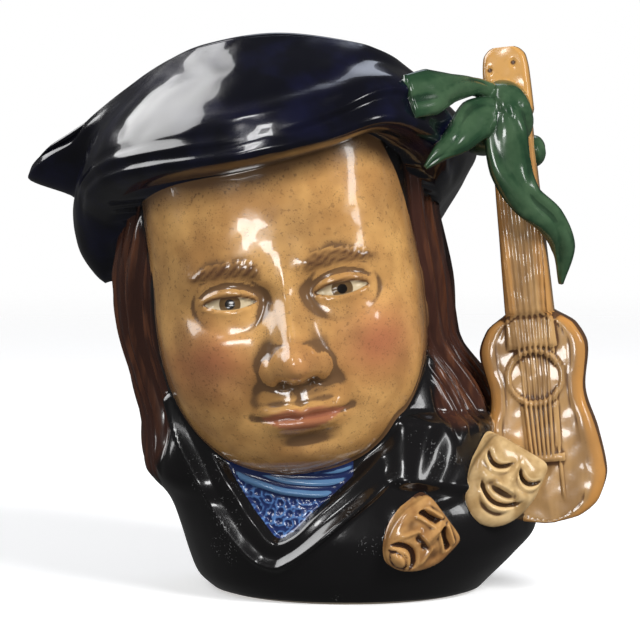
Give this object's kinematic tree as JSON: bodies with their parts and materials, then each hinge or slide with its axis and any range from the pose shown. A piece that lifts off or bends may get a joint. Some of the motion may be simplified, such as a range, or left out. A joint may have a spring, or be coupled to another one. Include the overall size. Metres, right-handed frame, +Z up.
{
  "type": "character jug",
  "caption": "Glazed earthenware character jug: a long-haired strolling player in a dark beret with a pouring lip, guitar handle tied with a green ribbon, and theatre masks on the coat.",
  "frame": {"origin": "centre of the outline, on the surface that the foot ring stands on", "axes": "+Z up, -Y the way the face looks, +X towards the guitar handle"},
  "size_m": [0.1751, 0.1361, 0.17],
  "materials": {
    "glaze": "glossy hand-painted glaze: navy beret, black coat, ochre face, chestnut hair, blue neckerchief, tan guitar, green ribbon"
  },
  "bodies": {
    "root": {"character_jug": "glaze"}
  },
  "joints": []
}
